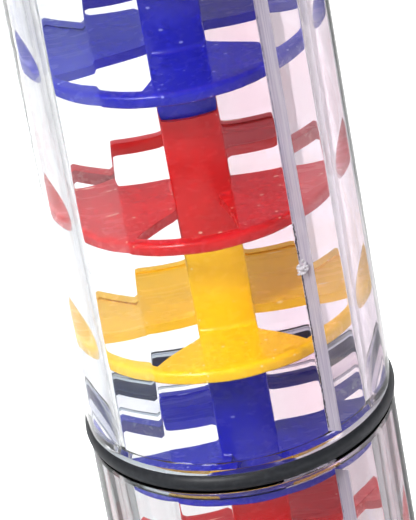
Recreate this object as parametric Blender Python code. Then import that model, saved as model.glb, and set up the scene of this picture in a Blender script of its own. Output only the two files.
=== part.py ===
"""Rainstick: two clear tubes joined end to end, with a column of bladed discs and loose beads inside.

Metres, +Z up. The stick stands on its lower cap: the origin is the middle of the flat underside,
and Z is the tubes' axis. Every disc element is one moulding: a hub, a disc with three blades and
three openings, a skirt below it and a collar that plugs into the hub of the next element down.
"""

import math

import bmesh
import bpy
from mathutils import Vector

MM = 0.001
GAP = 0.3 * MM  # kept between pieces that touch or fit into each other

# Case
TOTAL_LENGTH = 400 * MM
TUBE_RADIUS = 28 * MM
BORE_SIDES = 16
BORE_CORNER_RADIUS = 24 * MM
BORE_TURN = math.radians(-55.7 - 90)  # direction of one corner of the bore, from +X
BORE_SIDE_SWELL = 0.05  # the wall is thinner towards +X and -X: corners there lie farther out
BORE_SWELL_POWER = 16
RING_SECTION = 3.6 * MM
SPIGOT_RADIUS = 24.65 * MM
SPIGOT_BORE = 23.4 * MM
SPIGOT_DEPTH = 2.4 * MM  # how far a spigot enters its socket
FACETS_START = 1.0 * MM  # the faceted bore starts this far above a tube's shoulder
EDGE = 0.5 * MM
CAP_FLANGE = 6 * MM
CAP_EDGE = 1.5 * MM
CAP_RECESS_RADIUS = 20 * MM
CAP_RECESS_DEPTH = 0.8 * MM
CAP_BOSS_HEIGHT = 6 * MM

RING_RADIUS = SPIGOT_RADIUS + GAP + RING_SECTION / 2
GROOVE = RING_SECTION + 2 * GAP
SOCKET_RADIUS = SPIGOT_RADIUS + GAP
SOCKET_DEPTH = SPIGOT_DEPTH + GAP
BODY_LENGTH = (TOTAL_LENGTH - 2 * CAP_FLANGE - 3 * GROOVE) / 2
LOWER_TUBE_Z = CAP_FLANGE + GROOVE
UPPER_TUBE_Z = LOWER_TUBE_Z + BODY_LENGTH + GROOVE
TOP_CAP_Z = TOTAL_LENGTH - CAP_FLANGE
RING_HEIGHTS = {
    "lower_end_ring": CAP_FLANGE + GROOVE / 2,
    "joint_ring": UPPER_TUBE_Z - GROOVE / 2,
    "upper_end_ring": TOP_CAP_Z - GROOVE / 2,
}

# Column of discs
DISC_COUNT = 13
MIDDLE_DISC = 6  # counted from the bottom, it lies just under the joint
MIDDLE_DISC_DROP = 4.7 * MM  # from the joint down to that disc's top face
DISC_PITCH = 26.4 * MM
LOOSE_DISC = 9  # this element isn't pushed fully home, so its collar shows
LOOSE_GAP = 3.0 * MM
LOOSE_TURN = math.radians(37.5)
DISC_RADIUS = 23.2 * MM
DISC_THICKNESS = 2.4 * MM
RIM_WIDTH = 2 * MM
HUB_RADIUS = 7.35 * MM
HUB_BORE = 6.6 * MM
COLLAR_RADIUS = HUB_BORE - GAP
COLLAR_BORE = 5.0 * MM
COLLAR_LENGTH = 5.7 * MM
SKIRT_LENGTH = 7.9 * MM  # the hub's full width goes on this far below a disc
HUB_TOP = DISC_PITCH - DISC_THICKNESS - SKIRT_LENGTH - GAP  # above the disc's top face
BLADES = 3
BLADE_STEPS = 6
OPENING_STEPS = 4
DISC_STEPS = BLADES * (BLADE_STEPS + OPENING_STEPS)
STEP_ANGLE = math.tau / DISC_STEPS
MIDDLE_TURN = math.radians(-49 - 90)  # direction of one blade's middle on that disc, from +X
TURN_STEP = math.radians(49.5)

# Beads, at rest in one layer on the lower cap: radius of each row, beads in it, shift in spacings
BEAD_RADIUS = 2.8 * MM
BEAD_ROWS = ((11.8 * MM, 12, 0.0), (17.8 * MM, 18, 0.5))

# Mesh fineness
TUBE_STEPS = 2 * BORE_SIDES
RING_STEPS = 32
RING_SECTION_STEPS = 6
SMOOTH_ANGLE = math.radians(30)

COLOURS = {
    "clear": ((0.93, 0.92, 0.94), 0.04, 1.0),
    "black_rubber": ((0.012, 0.012, 0.013), 0.45, 0.0),
    "blue": ((0.022, 0.016, 0.46), 0.2, 0.0),
    "yellow": ((0.93, 0.50, 0.004), 0.2, 0.0),
    "red": ((0.62, 0.008, 0.010), 0.2, 0.0),
}
COLUMN_COLOURS = ("blue", "yellow", "red")  # upwards, starting at the lowest disc


def clear_scene():
    for item in list(bpy.data.objects):
        bpy.data.objects.remove(item)


def plastic(name):
    """A Principled material with the colour, roughness and transmission listed for it."""
    if name in bpy.data.materials:
        return bpy.data.materials[name]
    colour, roughness, transmission = COLOURS[name]
    material = bpy.data.materials.new(name)
    material.use_nodes = True
    shader = material.node_tree.nodes["Principled BSDF"]
    shader.inputs["Base Color"].default_value = (*colour, 1.0)
    shader.inputs["Roughness"].default_value = roughness
    shader.inputs["Transmission Weight"].default_value = transmission
    return material


def new_object(name, shape, material, place=(0.0, 0.0, 0.0), turn=0.0):
    """An object with the bmesh shape as its mesh, shaded smooth but for its real edges."""
    bmesh.ops.recalc_face_normals(shape, faces=shape.faces)
    mesh = bpy.data.meshes.new(name)
    shape.to_mesh(mesh)
    shape.free()
    mesh.shade_smooth()
    mesh.set_sharp_from_angle(angle=SMOOTH_ANGLE)
    mesh.materials.append(plastic(material))
    item = bpy.data.objects.new(name, mesh)
    item.location = place
    item.rotation_euler.z = turn
    bpy.context.scene.collection.objects.link(item)
    return item


def round_ring(radius, height, steps, start=0.0):
    """The points of one level circle, or its single middle point where the radius is 0."""
    if radius == 0.0:
        return [Vector((0.0, 0.0, height))]
    turns = [start + math.tau * i / steps for i in range(steps)]
    return [Vector((radius * math.cos(a), radius * math.sin(a), height)) for a in turns]


def faceted_ring(corner_radius, height, steps, start):
    """The points of one level polygon of BORE_SIDES sides, with steps / BORE_SIDES points a side."""
    per_side = steps // BORE_SIDES
    corners = round_ring(corner_radius, height, BORE_SIDES, start)
    for corner in corners:
        sideways = abs(corner.x) / corner_radius
        corner.xy *= 1 + BORE_SIDE_SWELL * sideways**BORE_SWELL_POWER
    points = []
    for i, corner in enumerate(corners):
        following = corners[(i + 1) % BORE_SIDES]
        points += [corner.lerp(following, j / per_side) for j in range(per_side)]
    return points


def skin(shape, rings):
    """Faces between each ring of points and the next. A ring of one point closes to a fan."""
    rows = [[shape.verts.new(point) for point in ring] for ring in rings]
    for row, following in zip(rows, rows[1:]):
        steps = max(len(row), len(following))
        for i in range(steps):
            j = (i + 1) % steps
            corners = [row[i % len(row)], row[j % len(row)]]
            corners += [following[j % len(following)], following[i % len(following)]]
            shape.faces.new(list(dict.fromkeys(corners)))
    return rows


def turned(outline, steps, closed):
    """A bmesh turned about Z from (radius, height) points. A closed outline joins its ends."""
    shape = bmesh.new()
    rings = [round_ring(radius, height, steps) for radius, height in outline]
    rows = skin(shape, rings)
    if closed:
        join_rows(shape, rows[-1], rows[0])
    return shape


def join_rows(shape, row, following):
    steps = len(row)
    for i in range(steps):
        j = (i + 1) % steps
        shape.faces.new((row[i], row[j], following[j], following[i]))


def tube(name, shoulder_z):
    """One tube: round outside, sixteen-sided inside, a socket at its top and a spigot at its foot."""
    tip = -(GROOVE + SPIGOT_DEPTH)
    top = BODY_LENGTH
    outline = (
        (SPIGOT_BORE, tip, False),
        (SPIGOT_RADIUS, tip, False),
        (SPIGOT_RADIUS, 0.0, False),
        (TUBE_RADIUS - EDGE, 0.0, False),
        (TUBE_RADIUS, EDGE, False),
        (TUBE_RADIUS, top - EDGE, False),
        (TUBE_RADIUS - EDGE, top, False),
        (SOCKET_RADIUS, top, False),
        (SOCKET_RADIUS, top - SOCKET_DEPTH, False),
        (BORE_CORNER_RADIUS, top - SOCKET_DEPTH, True),
        (BORE_CORNER_RADIUS, FACETS_START, True),
        (SPIGOT_BORE, FACETS_START, False),
    )
    rings = []
    for radius, height, faceted in outline:
        ring_points = faceted_ring if faceted else round_ring
        rings.append(ring_points(radius, height, TUBE_STEPS, BORE_TURN))
    shape = bmesh.new()
    rows = skin(shape, rings)
    join_rows(shape, rows[-1], rows[0])
    return new_object(name, shape, "clear", place=(0.0, 0.0, shoulder_z))


def sealing_ring(name, height):
    """A round-section rubber ring in the groove between two shoulders."""
    outline = []
    for i in range(RING_SECTION_STEPS):
        angle = math.tau * (i + 0.5) / RING_SECTION_STEPS
        reach = RING_SECTION / 2
        outline.append((RING_RADIUS + reach * math.cos(angle), reach * math.sin(angle)))
    return new_object(name, turned(outline, RING_STEPS, closed=True), "black_rubber", place=(0.0, 0.0, height))


def lower_cap():
    """The cap that the stick stands on, with a socket for the tube and a boss for the column."""
    plug_radius = SPIGOT_BORE - GAP
    outline = (
        (0.0, CAP_RECESS_DEPTH),
        (CAP_RECESS_RADIUS, CAP_RECESS_DEPTH),
        (CAP_RECESS_RADIUS + CAP_RECESS_DEPTH, 0.0),
        (TUBE_RADIUS - CAP_EDGE, 0.0),
        (TUBE_RADIUS, CAP_EDGE),
        (TUBE_RADIUS, CAP_FLANGE - EDGE),
        (TUBE_RADIUS - EDGE, CAP_FLANGE),
        (SOCKET_RADIUS, CAP_FLANGE),
        (SOCKET_RADIUS, CAP_FLANGE - SOCKET_DEPTH),
        (plug_radius, CAP_FLANGE - SOCKET_DEPTH),
        (plug_radius, CAP_FLANGE),
        (COLLAR_RADIUS, CAP_FLANGE),
        (COLLAR_RADIUS, CAP_FLANGE + CAP_BOSS_HEIGHT),
        (0.0, CAP_FLANGE + CAP_BOSS_HEIGHT),
    )
    return new_object("lower_cap", turned(outline, RING_STEPS, closed=False), "clear")


def upper_cap():
    """The cap at the top, with a ring spigot for the tube's socket and a boss for the column."""
    tip = -(GROOVE + SPIGOT_DEPTH)
    outline = (
        (0.0, -CAP_BOSS_HEIGHT),
        (COLLAR_RADIUS, -CAP_BOSS_HEIGHT),
        (COLLAR_RADIUS, 0.0),
        (SPIGOT_BORE, 0.0),
        (SPIGOT_BORE, tip),
        (SPIGOT_RADIUS, tip),
        (SPIGOT_RADIUS, 0.0),
        (TUBE_RADIUS - EDGE, 0.0),
        (TUBE_RADIUS, EDGE),
        (TUBE_RADIUS, CAP_FLANGE - CAP_EDGE),
        (TUBE_RADIUS - CAP_EDGE, CAP_FLANGE),
        (CAP_RECESS_RADIUS + CAP_RECESS_DEPTH, CAP_FLANGE),
        (CAP_RECESS_RADIUS, CAP_FLANGE - CAP_RECESS_DEPTH),
        (0.0, CAP_FLANGE - CAP_RECESS_DEPTH),
    )
    return new_object("upper_cap", turned(outline, RING_STEPS, closed=False), "clear", place=(0.0, 0.0, TOP_CAP_Z))


def disc_height(index):
    """Height of a disc's top face. The disc just under the joint sets the whole column."""
    height = UPPER_TUBE_Z - GROOVE / 2 - MIDDLE_DISC_DROP + (index - MIDDLE_DISC) * DISC_PITCH
    return height + LOOSE_GAP if index >= LOOSE_DISC else height


def disc_turn(index):
    """Direction of the middle of one blade, from +X."""
    turn = MIDDLE_TURN + (index - MIDDLE_DISC) * TURN_STEP
    return turn + LOOSE_TURN if index >= LOOSE_DISC else turn


def disc_element(index):
    """A hub through a bladed disc, with a collar at its foot. Height 0 is the disc's top face."""
    rim_bore = DISC_RADIUS - RIM_WIDTH
    below = -DISC_THICKNESS
    foot = below - SKIRT_LENGTH
    outline = (
        (HUB_RADIUS, below),
        (HUB_RADIUS, foot),
        (COLLAR_RADIUS, foot),
        (COLLAR_RADIUS, foot - COLLAR_LENGTH),
        (COLLAR_BORE, foot - COLLAR_LENGTH),
        (COLLAR_BORE, 0.0),
        (HUB_BORE, 0.0),
        (HUB_BORE, HUB_TOP),
        (HUB_RADIUS, HUB_TOP),
        (HUB_RADIUS, 0.0),
    )
    rim_outline = ((rim_bore, 0.0), (DISC_RADIUS, 0.0), (DISC_RADIUS, below), (rim_bore, below))
    first_edge = -BLADE_STEPS * STEP_ANGLE / 2
    shape = bmesh.new()
    hub = skin(shape, [round_ring(r, z, DISC_STEPS, first_edge) for r, z in outline])
    rim = skin(shape, [round_ring(r, z, DISC_STEPS, first_edge) for r, z in rim_outline])
    add_blades(shape, hub[-1], rim[0], hub[0], rim[-1])
    name = f"disc_{index + 1:02d}"
    colour = COLUMN_COLOURS[index % len(COLUMN_COLOURS)]
    return new_object(name, shape, colour, (0.0, 0.0, disc_height(index)), disc_turn(index))


def add_blades(shape, hub_top, rim_top, hub_below, rim_below):
    """Fills between hub and rim: plates where a blade is, and upright walls round each opening."""
    for i in range(DISC_STEPS):
        j = (i + 1) % DISC_STEPS
        step = i % (BLADE_STEPS + OPENING_STEPS)
        if step < BLADE_STEPS:
            shape.faces.new((hub_top[i], hub_top[j], rim_top[j], rim_top[i]))
            shape.faces.new((hub_below[i], hub_below[j], rim_below[j], rim_below[i]))
        else:
            shape.faces.new((hub_top[i], hub_top[j], hub_below[j], hub_below[i]))
            shape.faces.new((rim_top[i], rim_top[j], rim_below[j], rim_below[i]))
        if step in (0, BLADE_STEPS):
            shape.faces.new((hub_top[i], rim_top[i], rim_below[i], hub_below[i]))


def column_foot():
    """A plain post that carries the lowest disc on the lower cap's boss."""
    low = CAP_FLANGE + GAP
    high = disc_height(0) - DISC_THICKNESS - SKIRT_LENGTH - GAP
    outline = ((HUB_BORE, low), (HUB_RADIUS, low), (HUB_RADIUS, high), (HUB_BORE, high))
    return new_object("column_foot", turned(outline, DISC_STEPS, closed=True), "yellow")


def column_head():
    """A plain post between the top disc's hub and the upper cap's boss, with its own collar."""
    low = disc_height(DISC_COUNT - 1) + HUB_TOP + GAP
    high = TOP_CAP_Z - GAP
    outline = (
        (COLLAR_BORE, low - COLLAR_LENGTH),
        (COLLAR_RADIUS, low - COLLAR_LENGTH),
        (COLLAR_RADIUS, low),
        (HUB_RADIUS, low),
        (HUB_RADIUS, high),
        (HUB_BORE, high),
        (HUB_BORE, high - CAP_BOSS_HEIGHT - GAP),
        (COLLAR_BORE, high - CAP_BOSS_HEIGHT - GAP),
    )
    return new_object("column_head", turned(outline, DISC_STEPS, closed=True), "yellow")


def beads():
    """Loose beads in two rows. The rows start at the middle of an opening in the lowest disc."""
    start = disc_turn(0) + STEP_ANGLE * (BLADE_STEPS + OPENING_STEPS) / 2
    height = CAP_FLANGE + GAP + BEAD_RADIUS
    number = 0
    for radius, count, shift in BEAD_ROWS:
        for i in range(count):
            angle = start + math.tau * (i + shift) / count
            centre = Vector((radius * math.cos(angle), radius * math.sin(angle), height))
            number += 1
            bead(f"bead_{number:02d}", COLUMN_COLOURS[number % len(COLUMN_COLOURS)], centre)


def bead(name, colour, centre):
    shape = bmesh.new()
    bmesh.ops.create_icosphere(shape, subdivisions=2, radius=BEAD_RADIUS)
    return new_object(name, shape, colour, place=centre)


def main():
    clear_scene()
    tube("lower_tube", LOWER_TUBE_Z)
    tube("upper_tube", UPPER_TUBE_Z)
    for name, height in RING_HEIGHTS.items():
        sealing_ring(name, height)
    lower_cap()
    upper_cap()
    column_foot()
    for index in range(DISC_COUNT):
        disc_element(index)
    column_head()
    beads()


main()
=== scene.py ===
"""Looks of the rainstick: clear moulded tubes, glossy bladed discs, rubber rings and beads."""

import math
import random

import bmesh
import bpy
from mathutils import Euler, Matrix, Vector


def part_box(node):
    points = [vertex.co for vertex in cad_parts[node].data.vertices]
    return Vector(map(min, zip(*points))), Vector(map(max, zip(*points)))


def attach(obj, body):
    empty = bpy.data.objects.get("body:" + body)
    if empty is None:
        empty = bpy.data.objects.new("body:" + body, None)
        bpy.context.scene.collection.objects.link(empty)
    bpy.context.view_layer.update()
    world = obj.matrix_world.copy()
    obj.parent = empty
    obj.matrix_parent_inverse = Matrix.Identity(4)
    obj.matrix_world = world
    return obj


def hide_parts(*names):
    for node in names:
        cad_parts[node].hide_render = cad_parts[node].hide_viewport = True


MM = 0.001
QUARTER = math.pi / 2
GAP = 0.3 * MM  # kept between pieces that touch or fit into each other

# Case, as in the CAD. A turn is a direction round Z, from +X
TUBE_RADIUS = 28 * MM
BORE_SIDES = 16
BORE_CORNER_RADIUS = 24 * MM
BORE_CORNER_ROUNDING = 1.2 * MM
BORE_TURN = math.radians(-55.7 - 90)
BORE_SIDE_SWELL = 0.05  # share by which the bore's corners nearest to +X and -X stand farther out
BORE_SWELL_POWER = 16
SPIGOT_RADIUS = 24.65 * MM
SPIGOT_BORE = 23.4 * MM
SPIGOT_DEPTH = 2.4 * MM
SOCKET_RADIUS = SPIGOT_RADIUS + GAP
SOCKET_DEPTH = SPIGOT_DEPTH + GAP
GROOVE = 4.2 * MM
FACETS_START = 1.0 * MM  # the faceted bore starts this far above a tube's shoulder
RING_RADIUS = 26.75 * MM
RING_SECTION = 3.6 * MM
CAP_FLANGE = 6 * MM
CAP_EDGE = 1.5 * MM
CAP_RECESS_RADIUS = 20 * MM
CAP_RECESS_DEPTH = 0.8 * MM
CAP_BOSS_HEIGHT = 6 * MM

# Detail of the case
RING_SNUG = 0.26 * MM  # the shoulders press the ring, so they stand this much closer to it
EDGE_ROUNDING = 0.25 * MM
CAP_GROOVES = (8 * MM, 14 * MM)
CAP_GROOVE_DEPTH = 0.35 * MM
BOSS_ROUNDING = 0.6 * MM
BOSS_FILLET = 1 * MM

# Bond line through each tube's wall
SEAM_INNER_TURN = math.radians(34.3 - 90)
SEAM_OUTER_TURN = math.radians(36.9 - 90)
SEAM_THICKNESS = 0.12 * MM
SEAM_INSET = 0.1 * MM  # from the wall's two faces
GRIT_DEPTH = 0.45 * MM  # the grit lies this deep in the wall
BLOB_ABOVE_JOINT = 37.9 * MM
BLOB_CRUMBS = 48

# Disc element, as in the CAD. Its origin is the middle of its top face
DISC_COUNT = 13
MIDDLE_DISC = 6
LOOSE_DISC = 9  # from this one up, the column is turned on by LOOSE_TURN
DISC_RADIUS = 23.2 * MM
RIM_WIDTH = 2 * MM
RIM_HEIGHT = 2.4 * MM
HUB_RADIUS = 7.35 * MM
HUB_BORE = 6.6 * MM
COLLAR_RADIUS = HUB_BORE - GAP
COLLAR_BORE = 5.0 * MM
COLLAR_LENGTH = 5.7 * MM
SKIRT_LENGTH = 7.9 * MM
BLADES = 3
MIDDLE_TURN = math.radians(-49 - 90)
TURN_STEP = math.radians(49.5)
LOOSE_TURN = math.radians(37.5)
COLUMN_COLOURS = ("blue", "yellow", "red")

# Detail of the column
PLATE_DROP = 0.3 * MM  # the blades' faces lie this far inside the rim's
HUB_FILLET = 0.8 * MM
RIM_ROUNDING = 0.9 * MM
DISC_SOFTNESS = 0.2 * MM
POST_ROUNDING = 0.3 * MM
POST_GROOVE_PLACE = 4 * MM  # from either end of a post
POST_GROOVE_DEPTH = 0.2 * MM
HEAD_BORE_DEPTH = 6.3 * MM

# Beads
BEAD_COUNT = 30
BEAD_CLEARANCE = 0.08 * MM  # leaves room for the parting ridge
BEAD_RIDGE = 0.06 * MM
BEAD_RIDGE_SPREAD = 0.05
BEAD_DIMPLE = 0.16 * MM
BEAD_DIMPLE_SPREAD = 0.22

# Mesh fineness
CORNER_STEPS = 4
FLAT_STOPS = (0.08, 0.5, 0.92)
BORE_STEPS = BORE_SIDES * (CORNER_STEPS + 1 + len(FLAT_STOPS))
ARC_STEPS = 5
ROUND_STEPS = 96
RING_SECTION_STEPS = 24
SEAM_STEPS = 160
GRIT_STEP = 0.22 * MM
GRIT_SIDES = 6
BEAD_STEPS = 22
BEAD_SIDES = 32
BLADE_STEPS = 24
OPENING_STEPS = 16
DISC_STEPS = BLADES * (BLADE_STEPS + OPENING_STEPS)
SMOOTH_ANGLE = math.radians(35)

# First view
LENS = 328.5
CAMERA_DISTANCE = 0.85
CAMERA_ELEVATION = math.radians(30.0)
CAMERA_ROLL = math.radians(-10.5)
AIM_ABOVE_JOINT = 29.9 * MM
AIM_SIDE = -1.04 * MM

# Light
WALL_CROSSINGS = 4  # faces that light passes on its way right through the tube
STICK_MIDDLE = (0, 0, 0.2)
WHITE = (1.0, 1.0, 1.0)

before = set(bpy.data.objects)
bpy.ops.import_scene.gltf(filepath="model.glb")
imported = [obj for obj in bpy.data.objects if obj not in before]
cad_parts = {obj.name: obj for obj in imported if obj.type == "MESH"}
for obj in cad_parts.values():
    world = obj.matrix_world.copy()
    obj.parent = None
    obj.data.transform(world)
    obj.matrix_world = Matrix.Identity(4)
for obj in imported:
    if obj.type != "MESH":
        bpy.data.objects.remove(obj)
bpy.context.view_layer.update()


# ---------------------------------------------------------------- pieces


def new_object(name, shape, material, place=(0, 0, 0), turn=0.0):
    bmesh.ops.recalc_face_normals(shape, faces=shape.faces)
    mesh = bpy.data.meshes.new(name)
    shape.to_mesh(mesh)
    shape.free()
    mesh.shade_smooth()
    mesh.set_sharp_from_angle(angle=SMOOTH_ANGLE)
    mesh.materials.append(material)
    item = bpy.data.objects.new(name, mesh)
    item.location = place
    item.rotation_euler.z = turn
    bpy.context.scene.collection.objects.link(item)
    return item


def stands_for(piece, node, body="stick"):
    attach(piece, body)
    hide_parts(node)


def clear_piece(node, shape):
    item = new_object("clear_" + node, shape, CLEAR)
    item.visible_shadow = False  # lamps shine straight through the clear walls
    stands_for(item, node)


def bond_piece(name, shape, material):
    item = new_object(name, shape, material)
    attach(item, "stick")


def soften_edges(item, width):
    bevel = item.modifiers.new("soft_edges", "BEVEL")
    bevel.width = width
    bevel.segments = 2
    bevel.limit_method = "ANGLE"
    bevel.angle_limit = math.radians(40)


# ---------------------------------------------------------------- outlines


def polar(radius, turn, height=0.0):
    return Vector((radius * math.cos(turn), radius * math.sin(turn), height))


def round_ring(radius, height, steps, start=0.0):
    if radius == 0.0:
        return [Vector((0, 0, height))]
    return [polar(radius, start + math.tau * i / steps, height) for i in range(steps)]


def bore_ring(height):
    """The sixteen-sided bore with its corners rounded."""
    half = math.pi / BORE_SIDES
    corners = []
    for k in range(BORE_SIDES):
        turn = BORE_TURN + 2 * half * k
        swell = 1 + BORE_SIDE_SWELL * abs(math.cos(turn)) ** BORE_SWELL_POWER
        reach = BORE_CORNER_RADIUS * swell - BORE_CORNER_ROUNDING / math.cos(half)
        middle = polar(reach, turn, height)
        turns = [turn + half * (2 * i / CORNER_STEPS - 1) for i in range(CORNER_STEPS + 1)]
        corners.append([middle + polar(BORE_CORNER_ROUNDING, a) for a in turns])
    points = []
    for k, corner in enumerate(corners):
        following = corners[(k + 1) % BORE_SIDES][0]
        points += corner + [corner[-1].lerp(following, stop) for stop in FLAT_STOPS]
    return points


def arc(middle, radius, start, end, steps=ARC_STEPS):
    """(radius, height) points on a round stretch of an outline."""
    turns = [start + (end - start) * i / steps for i in range(steps + 1)]
    return [(middle[0] + radius * math.cos(a), middle[1] + radius * math.sin(a)) for a in turns]


def skin(shape, rings, closed=False):
    """Faces between each ring of points and the next. A ring may be a single point."""
    rows = [[shape.verts.new(point) for point in ring] for ring in rings]
    pairs = list(zip(rows, rows[1:]))
    if closed:
        pairs.append((rows[-1], rows[0]))
    for row, following in pairs:
        steps = max(len(row), len(following))
        for i in range(steps):
            j = (i + 1) % steps
            corners = [row[i % len(row)], row[j % len(row)]]
            corners += [following[j % len(following)], following[i % len(following)]]
            shape.faces.new(list(dict.fromkeys(corners)))
    return rows


def turned(outline, steps, closed):
    shape = bmesh.new()
    skin(shape, [round_ring(r, z, steps) for r, z in outline], closed)
    return shape


def strand(rings):
    """A solid through the rings, with flat ends."""
    shape = bmesh.new()
    rows = skin(shape, rings)
    shape.faces.new(rows[0])
    shape.faces.new(rows[-1])
    return shape


# ---------------------------------------------------------------- shader nodes


def feed(tree, socket, value):
    """Set a socket to a value, or link it to another node's output."""
    if isinstance(value, bpy.types.NodeSocket):
        tree.links.new(value, socket)
    else:
        socket.default_value = value


def add(tree, kind, inputs=None, **settings):
    item = tree.nodes.new("ShaderNode" + kind)
    for name, value in settings.items():
        setattr(item, name, value)
    for name, value in (inputs or {}).items():
        feed(tree, item.inputs[name], value)
    return item


def noise(tree, place, scale, detail=2, distortion=0.0):
    inputs = {"Vector": place, "Scale": scale, "Detail": detail, "Distortion": distortion}
    return add(tree, "TexNoise", inputs).outputs["Fac"]


def calculate(tree, operation, *values):
    item = add(tree, "Math", operation=operation)
    for socket, value in zip(item.inputs, values):
        feed(tree, socket, value)
    return item.outputs["Value"]


def scaled(tree, value, source, target):
    """Map the source range of a value onto the target range."""
    inputs = {"Value": value, "From Min": source[0], "From Max": source[1]}
    inputs.update({"To Min": target[0], "To Max": target[1]})
    return add(tree, "MapRange", inputs).outputs["Result"]


def ramp(tree, value, *stops):
    """Colours along a value. Each stop is a position and a colour."""
    item = add(tree, "ValToRGB", {"Fac": value})
    elements = item.color_ramp.elements
    while len(elements) < len(stops):
        elements.new(0.5)
    for element, (position, colour) in zip(elements, stops):
        element.position = position
        element.color = (*colour, 1)
    return item.outputs["Color"]


def bump(tree, height, strength, depth):
    inputs = {"Height": height, "Strength": strength, "Distance": depth}
    return add(tree, "Bump", inputs).outputs["Normal"]


def new_material(name):
    """A material, its node tree and the object coordinates in it."""
    material = bpy.data.materials.new(name)
    material.use_nodes = True
    tree = material.node_tree
    return material, tree, add(tree, "TexCoord").outputs["Object"]


def shade(tree, **inputs):
    """Feed the shader. An underscore stands for the space in a socket's name."""
    shader = tree.nodes["Principled BSDF"]
    for name, value in inputs.items():
        feed(tree, shader.inputs[name.replace("_", " ")], value)


# ---------------------------------------------------------------- materials


def clear_plastic():
    """Clear acrylic, a little mauve towards +X as a painted reflection of pinkish surroundings seen
    through that side, with faint clouds in its tint.
    """
    material, tree, place = new_material("clear_plastic")
    sideways = add(tree, "SeparateXYZ", {"Vector": place}).outputs["X"]
    clouded = calculate(tree, "MULTIPLY_ADD", noise(tree, place, 18), 4 * MM, sideways)
    # painted reflection: the stops past the middle turn mauve towards +X for pinkish surroundings seen
    # through the tube's side
    tint_and_painted_reflection = ramp(
        tree,
        scaled(tree, clouded, (-16 * MM, 22 * MM), (0, 1)),
        (0.0, (0.97, 0.975, 0.99)),
        (0.5, (0.985, 0.975, 0.985)),
        (0.75, (0.92, 0.81, 0.86)),
        (1.0, (0.89, 0.82, 0.86)),
    )
    shade(tree, Base_Color=tint_and_painted_reflection, Transmission_Weight=1.0, IOR=1.5, Roughness=0.0)
    return material


def glossy_plastic(name, colour, darker, dust):
    """Moulded plastic: faint flow marks, sparse pale specks and fine scuffs."""
    material, tree, place = new_material(name)
    flow = ramp(tree, noise(tree, place, 90, distortion=1.2), (0.3, darker), (0.6, colour))
    from_speck = add(tree, "TexVoronoi", {"Vector": place, "Scale": 420}).outputs["Distance"]
    speck = scaled(tree, from_speck, (0.11, 0.08), (0, 0.75))
    spotted = add(tree, "Mix", {"Factor": speck, "A": flow, "B": (*dust, 1)}, data_type="RGBA")
    scuffs = noise(tree, place, 700, detail=6)
    shade(
        tree,
        Base_Color=spotted.outputs["Result"],
        Roughness=scaled(tree, scuffs, (0.35, 0.75), (0.22, 0.32)),
        Normal=bump(tree, scuffs, 0.05, 0.2 * MM),
    )
    return material


def black_rubber():
    """Dark rubber with fine dust in its grain."""
    material, tree, place = new_material("black_rubber")
    dust = noise(tree, place, 900, detail=8)
    tone = ramp(tree, dust, (0.45, (0.020, 0.022, 0.028)), (0.8, (0.040, 0.043, 0.052)))
    shade(tree, Base_Color=tone, Roughness=0.45, Normal=bump(tree, dust, 0.1, 0.05 * MM))
    return material


def streaked(name, dark, light, stretch, roughness, clarity):
    """Cloudy bonding material, its clouds as fine along X, Y and Z as stretch says."""
    material, tree, place = new_material(name)
    stretched = add(tree, "Mapping", {"Vector": place, "Scale": stretch}).outputs["Vector"]
    tone = ramp(tree, noise(tree, stretched, 1, detail=5), (0.35, dark), (0.65, light))
    shade(tree, Base_Color=tone, Roughness=roughness, Transmission_Weight=clarity)
    return material


CLEAR = clear_plastic()
RUBBER = black_rubber()
SEAM = streaked("bond", (0.62, 0.59, 0.72), (0.93, 0.92, 0.98), (2500, 2500, 60), 0.35, 0.45)
GRIT = streaked("bond_grit", (0.015, 0.015, 0.02), (0.16, 0.14, 0.2), (3000, 3000, 900), 0.5, 0.0)
PALE_GRIT = streaked(
    "bond_pale_grit", (0.30, 0.26, 0.42), (0.75, 0.72, 0.85), (3000, 3000, 900), 0.5, 0.2
)
WHITE_GRIT = streaked(
    "bond_white_grit", (0.82, 0.82, 0.85), (0.97, 0.97, 0.98), (1500, 1500, 1500), 0.4, 0.0
)
PLASTICS = {
    "blue": glossy_plastic(
        "blue_plastic", (0.010, 0.011, 0.44), (0.009, 0.009, 0.40), (0.35, 0.38, 0.8)
    ),
    "yellow": glossy_plastic(
        "yellow_plastic", (0.95, 0.57, 0.003), (0.93, 0.55, 0.003), (0.98, 0.8, 0.4)
    ),
    "red": glossy_plastic(
        "red_plastic", (0.62, 0.007, 0.009), (0.57, 0.006, 0.008), (0.95, 0.55, 0.4)
    ),
}


# ---------------------------------------------------------------- case


def tube(node):
    """Round outside and faceted inside, with a spigot below and a socket above."""
    low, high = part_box(node)
    shoulder = low.z + GROOVE + SPIGOT_DEPTH - RING_SNUG
    top = high.z + RING_SNUG
    facets = shoulder + FACETS_START
    side = TUBE_RADIUS - EDGE_ROUNDING
    start = BORE_TURN - math.pi / BORE_SIDES
    outline = [(SPIGOT_BORE, low.z), (SPIGOT_RADIUS, low.z), (SPIGOT_RADIUS, shoulder)]
    outline += arc((side, shoulder + EDGE_ROUNDING), EDGE_ROUNDING, -QUARTER, 0)
    outline += arc((side, top - EDGE_ROUNDING), EDGE_ROUNDING, 0, QUARTER)
    outline += [(SOCKET_RADIUS, top), (SOCKET_RADIUS, top - SOCKET_DEPTH)]
    rings = [round_ring(r, z, BORE_STEPS, start) for r, z in outline]
    rings += [bore_ring(top - SOCKET_DEPTH), bore_ring(facets)]
    rings += [round_ring(SPIGOT_BORE, facets, BORE_STEPS, start)]
    shape = bmesh.new()
    skin(shape, rings, closed=True)
    clear_piece(node, shape)


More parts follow.
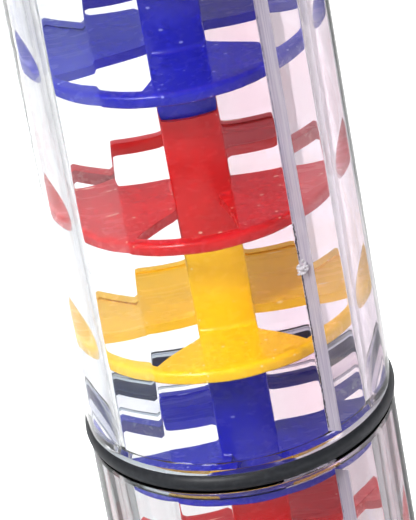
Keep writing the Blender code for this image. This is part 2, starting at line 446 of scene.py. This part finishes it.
def bonded_seam(node):
    """The bond line through the wall, from a corner of the bore out to the surface."""
    low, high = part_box(node)
    start = low.z + GROOVE + SPIGOT_DEPTH + FACETS_START + GAP
    end = high.z - SOCKET_DEPTH - GAP
    inner = (BORE_CORNER_RADIUS + SEAM_INSET, SEAM_INNER_TURN)
    outer = (TUBE_RADIUS - SEAM_INSET, SEAM_OUTER_TURN)
    edges = []
    for radius, turn in (inner, outer):
        across = polar(SEAM_THICKNESS / 2, turn + QUARTER)
        edges.append((polar(radius, turn) - across, polar(radius, turn) + across))
    (a, b), (c, d) = edges
    heights = [start + (end - start) * i / SEAM_STEPS for i in range(SEAM_STEPS + 1)]
    rings = [[point + Vector((0, 0, height)) for point in (a, c, d, b)] for height in heights]
    bond_piece("seam_of_" + node, strand(rings), SEAM)


def seam_grit(name, low, high, reach, material):
    """A crumbly thread along the bond's inner edge, thick and thin by turns."""
    chance = random.Random(name)
    steps = int((high - low) / GRIT_STEP)
    rings = []
    for i in range(steps + 1):
        height = low + (high - low) * i / steps
        size = reach * (0.15 if i in (0, steps) else chance.uniform(0.35, 1.0))
        radius = BORE_CORNER_RADIUS + GRIT_DEPTH + chance.uniform(-0.5, 0.5) * reach
        turn = SEAM_INNER_TURN + chance.uniform(-0.4, 0.4) * reach / BORE_CORNER_RADIUS
        middle = polar(radius, turn, height)
        rings.append([middle + point for point in round_ring(size, 0.0, GRIT_SIDES)])
    bond_piece(name, strand(rings), material)


def seam_blob(joint):
    """A lump of white crumbs where the bond has foamed."""
    chance = random.Random("blob")
    shape = bmesh.new()
    for _ in range(BLOB_CRUMBS):
        radius = BORE_CORNER_RADIUS + chance.uniform(1.2, 3.2) * MM
        turn = SEAM_INNER_TURN + chance.uniform(-0.045, 0.012)
        height = joint + BLOB_ABOVE_JOINT + chance.triangular(-1.7, 1.5) * MM
        size = chance.uniform(0.16, 0.34) * MM
        place = Matrix.Translation(polar(radius, turn, height))
        bmesh.ops.create_icosphere(shape, subdivisions=2, radius=size, matrix=place)
    for vert in shape.verts:
        vert.co += Vector([chance.uniform(-0.09, 0.09) * MM for _ in range(3)])
    bond_piece("seam_blob", shape, WHITE_GRIT)


def sealing_ring(node):
    """A round rubber ring, which lies in the groove between two shoulders."""
    low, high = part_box(node)
    outline = arc((RING_RADIUS, 0), RING_SECTION / 2, 0, math.tau, RING_SECTION_STEPS)[:-1]
    shape = turned(outline, 2 * ROUND_STEPS, closed=True)
    item = new_object("rubber_" + node, shape, RUBBER, place=(0, 0, (low.z + high.z) / 2))
    stands_for(item, node)


def cap_face(face, inward):
    """(radius, height) points of a cap's outer face from its middle to its recess's edge."""
    recess = face + inward * CAP_RECESS_DEPTH
    deep = recess + inward * CAP_GROOVE_DEPTH
    points = [(0.0, deep), (1.2 * MM, deep), (1.5 * MM, recess)]
    for groove in CAP_GROOVES:
        points += [(groove - 0.5 * MM, recess), (groove, deep), (groove + 0.5 * MM, recess)]
    points += [(CAP_RECESS_RADIUS - 0.4 * MM, recess)]
    points += [(CAP_RECESS_RADIUS + 0.2 * MM, face + inward * 0.6 * MM)]
    return points + [(CAP_RECESS_RADIUS + 0.8 * MM, face)]


def lower_cap():
    """A flange with a socket round its plug, and a boss that the column stands over."""
    low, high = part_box("lower_cap")
    flange = low.z + CAP_FLANGE
    shoulder = flange + RING_SNUG
    socket = flange - SOCKET_DEPTH
    plug = SPIGOT_BORE - GAP
    boss = COLLAR_RADIUS - BOSS_ROUNDING
    outline = cap_face(low.z, 1)
    outline += arc((TUBE_RADIUS - CAP_EDGE, low.z + CAP_EDGE), CAP_EDGE, -QUARTER, 0)
    outline += arc((TUBE_RADIUS - EDGE_ROUNDING, shoulder - EDGE_ROUNDING), EDGE_ROUNDING, 0, QUARTER)
    outline += [(SOCKET_RADIUS, shoulder), (SOCKET_RADIUS, socket), (plug, socket)]
    outline += arc((plug - EDGE_ROUNDING, flange - EDGE_ROUNDING), EDGE_ROUNDING, 0, QUARTER)
    foot = (COLLAR_RADIUS + BOSS_FILLET, flange + BOSS_FILLET)
    outline += arc(foot, BOSS_FILLET, -QUARTER, -2 * QUARTER)
    outline += arc((boss, high.z - BOSS_ROUNDING), BOSS_ROUNDING, 0, QUARTER)
    outline += [(0.0, high.z)]
    clear_piece("lower_cap", turned(outline, 2 * ROUND_STEPS, closed=False))


def upper_cap():
    """A flange with a spigot, and a boss that holds the column's head."""
    low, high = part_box("upper_cap")
    flange = high.z - CAP_FLANGE
    shoulder = flange - RING_SNUG
    end = flange - CAP_BOSS_HEIGHT
    boss = COLLAR_RADIUS - BOSS_ROUNDING
    outline = [(0.0, end)]
    outline += arc((boss, end + BOSS_ROUNDING), BOSS_ROUNDING, -QUARTER, 0)
    foot = (COLLAR_RADIUS + BOSS_FILLET, flange - BOSS_FILLET)
    outline += arc(foot, BOSS_FILLET, 2 * QUARTER, QUARTER)
    outline += [(SPIGOT_BORE, flange), (SPIGOT_BORE, low.z)]
    outline += [(SPIGOT_RADIUS, low.z), (SPIGOT_RADIUS, shoulder)]
    outline += arc((TUBE_RADIUS - EDGE_ROUNDING, shoulder + EDGE_ROUNDING), EDGE_ROUNDING, -QUARTER, 0)
    outline += arc((TUBE_RADIUS - CAP_EDGE, high.z - CAP_EDGE), CAP_EDGE, 0, QUARTER)
    outline += reversed(cap_face(high.z, -1))
    clear_piece("upper_cap", turned(outline, 2 * ROUND_STEPS, closed=False))


# ---------------------------------------------------------------- column


def disc_turn(index):
    turn = MIDDLE_TURN + (index - MIDDLE_DISC) * TURN_STEP
    return turn + LOOSE_TURN if index >= LOOSE_DISC else turn


def disc_rings(outline):
    """Rings of points round Z that start at the edge of a blade."""
    start = -math.pi * BLADE_STEPS / DISC_STEPS
    return [round_ring(r, z, DISC_STEPS, start) for r, z in outline]


def hub_outline(hub_top):
    """The hub's wall from under the blades down, up its bore and back to the blades' fillet."""
    skirt = -RIM_HEIGHT - SKIRT_LENGTH
    return (
        (HUB_RADIUS, PLATE_DROP - RIM_HEIGHT),
        (HUB_RADIUS, skirt),
        (COLLAR_RADIUS, skirt),
        (COLLAR_RADIUS, skirt - COLLAR_LENGTH),
        (COLLAR_BORE, skirt - COLLAR_LENGTH),
        (COLLAR_BORE, 0.0),
        (HUB_BORE, 0.0),
        (HUB_BORE, hub_top),
        (HUB_RADIUS, hub_top),
        (HUB_RADIUS, HUB_FILLET - PLATE_DROP),
    )


def rim_outline():
    """The rim from the blades' upper faces, over its outside, to their lower faces."""
    inside = DISC_RADIUS - RIM_WIDTH
    foot = (DISC_RADIUS - RIM_ROUNDING / 2, -RIM_HEIGHT + RIM_ROUNDING / 2)
    outline = [(inside, -PLATE_DROP), (inside, 0.0)]
    outline += arc((DISC_RADIUS - RIM_ROUNDING, -RIM_ROUNDING), RIM_ROUNDING, QUARTER, 0)
    outline += arc(foot, RIM_ROUNDING / 2, 0, -QUARTER, 3)
    return outline + [(inside, -RIM_HEIGHT), (inside, PLATE_DROP - RIM_HEIGHT)]


def disc_element(index):
    """A hub and a rim, with blades between them that rise into a fillet round the hub."""
    node = f"disc_{index + 1:02d}"
    low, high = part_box(node)
    top_face = low.z + COLLAR_LENGTH + SKIRT_LENGTH + RIM_HEIGHT
    shape = bmesh.new()
    hub = skin(shape, disc_rings(hub_outline(high.z - top_face)))
    middle = (HUB_RADIUS + HUB_FILLET, HUB_FILLET - PLATE_DROP)
    fillet = disc_rings(arc(middle, HUB_FILLET, math.pi, math.pi + QUARTER)[1:])
    plate = [hub[-1]] + [[shape.verts.new(point) for point in ring] for ring in fillet]
    rim = skin(shape, disc_rings(rim_outline()))
    plate.append(rim[0])
    for i in range(DISC_STEPS):
        j = (i + 1) % DISC_STEPS
        step = i % (BLADE_STEPS + OPENING_STEPS)
        if step < BLADE_STEPS:
            for row, following in zip(plate, plate[1:]):
                shape.faces.new((row[i], row[j], following[j], following[i]))
            shape.faces.new((hub[0][i], hub[0][j], rim[-1][j], rim[-1][i]))
        else:
            shape.faces.new((hub[-1][i], hub[-1][j], hub[0][j], hub[0][i]))
            shape.faces.new((rim[0][i], rim[0][j], rim[-1][j], rim[-1][i]))
        if step in (0, BLADE_STEPS):
            shape.faces.new([row[i] for row in plate] + [rim[-1][i], hub[0][i]])
    for row in plate[1:-1]:
        for vert in row:
            if not vert.link_faces:
                shape.verts.remove(vert)
    colour = COLUMN_COLOURS[index % len(COLUMN_COLOURS)]
    item = new_object(f"{colour}_{node}", shape, PLASTICS[colour], (0, 0, top_face), disc_turn(index))
    soften_edges(item, DISC_SOFTNESS)
    stands_for(item, node)


def post_side(foot, top):
    """(radius, height) points up a post's outside: rounded lips and two shallow grooves."""
    side = HUB_RADIUS - POST_ROUNDING
    points = arc((side, foot + POST_ROUNDING), POST_ROUNDING, -QUARTER, 0, 3)
    for height in (foot + POST_GROOVE_PLACE, top - POST_GROOVE_PLACE):
        points += [(HUB_RADIUS, height - POST_ROUNDING), (HUB_RADIUS - POST_GROOVE_DEPTH, height)]
        points += [(HUB_RADIUS, height + POST_ROUNDING)]
    return points + arc((side, top - POST_ROUNDING), POST_ROUNDING, 0, QUARTER, 3)


def post(node, outline):
    item = new_object("yellow_" + node, turned(outline, ROUND_STEPS, closed=True), PLASTICS["yellow"])
    stands_for(item, node)


def column_foot():
    """A plain sleeve under the lowest disc element."""
    low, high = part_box("column_foot")
    post("column_foot", [(HUB_BORE, low.z)] + post_side(low.z, high.z) + [(HUB_BORE, high.z)])


def column_head():
    """A sleeve with a collar below it that plugs into the highest hub."""
    low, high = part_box("column_head")
    foot = low.z + COLLAR_LENGTH
    outline = [(COLLAR_BORE, low.z), (COLLAR_RADIUS - POST_ROUNDING, low.z)]
    outline += [(COLLAR_RADIUS, low.z + POST_ROUNDING), (COLLAR_RADIUS, foot)]
    outline += post_side(foot, high.z)
    outline += [(HUB_BORE, high.z), (HUB_BORE, high.z - HEAD_BORE_DEPTH)]
    outline += [(COLLAR_BORE, high.z - HEAD_BORE_DEPTH)]
    post("column_head", outline)


# ---------------------------------------------------------------- beads


def bead(number):
    """A moulded bead: nearly round, with a parting ridge and a small gate dimple."""
    node = f"bead_{number:02d}"
    low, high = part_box(node)
    radius = (high.z - low.z) / 2 - BEAD_CLEARANCE
    chance = random.Random(number)
    lean = Euler([chance.uniform(0, math.tau) for _ in range(3)])
    outline = []
    for i in range(BEAD_STEPS + 1):
        slope = math.pi * (i / BEAD_STEPS - 0.5)
        ridge = BEAD_RIDGE * math.exp(-((slope / BEAD_RIDGE_SPREAD) ** 2))
        dimple = BEAD_DIMPLE * math.exp(-(((slope - QUARTER) / BEAD_DIMPLE_SPREAD) ** 2))
        reach = radius + ridge - dimple
        across = 0.0 if i in (0, BEAD_STEPS) else reach * math.cos(slope)
        outline.append((across, reach * math.sin(slope)))
    shape = turned(outline, BEAD_SIDES, closed=False)
    bmesh.ops.rotate(shape, verts=shape.verts, cent=(0, 0, 0), matrix=lean.to_matrix())
    colour = COLUMN_COLOURS[number % len(COLUMN_COLOURS)]
    item = new_object(f"{colour}_{node}", shape, PLASTICS[colour], (low + high) / 2)
    stands_for(item, node, node + "_body")


# ---------------------------------------------------------------- studio


def floor_material():
    """Pale paper that glows evenly white to the camera. To other rays it glows with painted light,
    bright at a distance and dim near the stick, except in front of it for rays that have crossed the
    tube from behind."""
    material, tree, place = new_material("studio_floor")
    seen = add(tree, "LightPath").outputs
    away = add(tree, "VectorMath", {"Vector": place}, operation="LENGTH").outputs["Value"]
    forward = add(tree, "SeparateXYZ", {"Vector": place}).outputs["Y"]
    # painted light: the floor glows for rays other than the camera's, standing for a lit floor seen in
    # and through the clear walls
    far = scaled(tree, away, (0.62, 0.85), (0, 0.9))
    front = scaled(tree, forward, (0.02, -0.1), (0, 0.8))
    crossed = calculate(tree, "GREATER_THAN", seen["Transmission Depth"], WALL_CROSSINGS - 0.5)
    painted_glow = calculate(tree, "MAXIMUM", far, calculate(tree, "MULTIPLY", front, crossed))
    shade(
        tree,
        Base_Color=(0.92, 0.92, 0.92, 1),
        Roughness=0.9,
        Emission_Color=(1, 1, 1, 1),
        Emission_Strength=calculate(tree, "MAXIMUM", painted_glow, seen["Is Camera Ray"]),
    )
    return material


def floor():
    shape = bmesh.new()
    bmesh.ops.create_grid(shape, x_segments=1, y_segments=1, size=40)
    new_object("studio_floor", shape, floor_material(), place=(0, 0, -0.1 * MM))


def sky():
    """White to the camera, and to other light a pale horizon under a dim room."""
    world = bpy.data.worlds.new("studio")
    bpy.context.scene.world = world
    world.use_nodes = True
    tree = world.node_tree
    direction = add(tree, "TexCoord").outputs["Generated"]
    upwards = add(tree, "SeparateXYZ", {"Vector": direction}).outputs["Z"]
    horizon = scaled(tree, upwards, (0.4, 0.08), (0.06, 0.75))
    seen = add(tree, "LightPath").outputs["Is Camera Ray"]
    background = tree.nodes["Background"]
    feed(tree, background.inputs["Color"], (1, 1, 1, 1))
    feed(tree, background.inputs["Strength"], calculate(tree, "MAXIMUM", horizon, seen))


def place_light(light, place, target):
    item = bpy.data.objects.new(light.name, light)
    item.location = place
    aim = Vector(target) - Vector(place)
    item.rotation_euler = aim.to_track_quat("-Z", "Y").to_euler()
    item.visible_camera = False
    bpy.context.scene.collection.objects.link(item)
    return item


def softbox(name, place, target, size, power, colour):
    light = bpy.data.lights.new(name, "AREA")
    light.shape = "RECTANGLE"
    light.size, light.size_y = size
    light.energy = power
    light.color = colour
    place_light(light, place, target)


def spot(name, place, target, cone, power, size, colour=WHITE, shine=True):
    """A soft-edged spot: its cone in degrees, its power in watts, and whether gloss shows it."""
    light = bpy.data.lights.new(name, "SPOT")
    light.spot_size = math.radians(cone)
    light.spot_blend = 1.0
    light.shadow_soft_size = size
    light.energy = power
    light.color = colour
    place_light(light, place, target).visible_glossy = shine


def floor_patch(name, x, y, cone, power, colour=WHITE):
    """Light on one round patch of the floor, which shows in or through the clear walls."""
    spot(name, (x, y, 1.2), (x, y, 0), cone, power, 0.1, colour)


def lights():
    softbox("back_card", (0.0, 2.0, 1.35), STICK_MIDDLE, (2.4, 1.2), 6.5, (0.82, 0.93, 1.0))
    spot("key", (-0.75, -1.05, 1.35), STICK_MIDDLE, 19, 79, 0.2)
    spot("fill", (1.25, -0.35, 0.95), STICK_MIDDLE, 19, 38, 0.25, shine=False)
    spot("rear", (-0.9, 1.2, 0.9), STICK_MIDDLE, 19, 14, 0.25, shine=False)
    floor_patch("floor_behind", -0.16, 0.48, 42, 80)
    floor_patch("floor_right", 0.5, 0.1, 34, 75, (0.97, 0.92, 1.0))
    floor_patch("floor_left", -0.45, -0.04, 28, 44, (0.80, 0.93, 1.0))


def camera(joint):
    data = bpy.data.cameras.new("camera")
    data.lens = LENS
    data.clip_start = 0.05
    data.clip_end = 100
    item = bpy.data.objects.new("camera", data)
    aim = Vector((AIM_SIDE, 0, joint + AIM_ABOVE_JOINT))
    back = Vector((0, -math.cos(CAMERA_ELEVATION), math.sin(CAMERA_ELEVATION)))
    item.location = aim + CAMERA_DISTANCE * back
    item.rotation_euler = (-back).to_track_quat("-Z", "Y").to_euler()
    item.rotation_euler.rotate_axis("Z", CAMERA_ROLL)
    bpy.context.scene.collection.objects.link(item)
    bpy.context.scene.camera = item


# ---------------------------------------------------------------- whole

ring_low, ring_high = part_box("joint_ring")
joint = (ring_low.z + ring_high.z) / 2
for name in ("lower_tube", "upper_tube"):
    tube(name)
    bonded_seam(name)
seam_grit("grit_low", joint + 4 * MM, joint + 36.2 * MM, 0.2 * MM, GRIT)
seam_grit("grit_middle", joint + 39 * MM, joint + 46.5 * MM, 0.22 * MM, GRIT)
seam_grit("grit_high", joint + 46.8 * MM, joint + 190 * MM, 0.14 * MM, PALE_GRIT)
seam_grit("grit_lower_tube", joint - 190 * MM, joint - 8 * MM, 0.12 * MM, PALE_GRIT)
seam_blob(joint)
for name in ("lower_end_ring", "joint_ring", "upper_end_ring"):
    sealing_ring(name)
for index in range(DISC_COUNT):
    disc_element(index)
lower_cap()
upper_cap()
column_foot()
column_head()
for index in range(BEAD_COUNT):
    bead(index + 1)
floor()
sky()
lights()
camera(joint)
bpy.context.scene.view_settings.view_transform = "Standard"
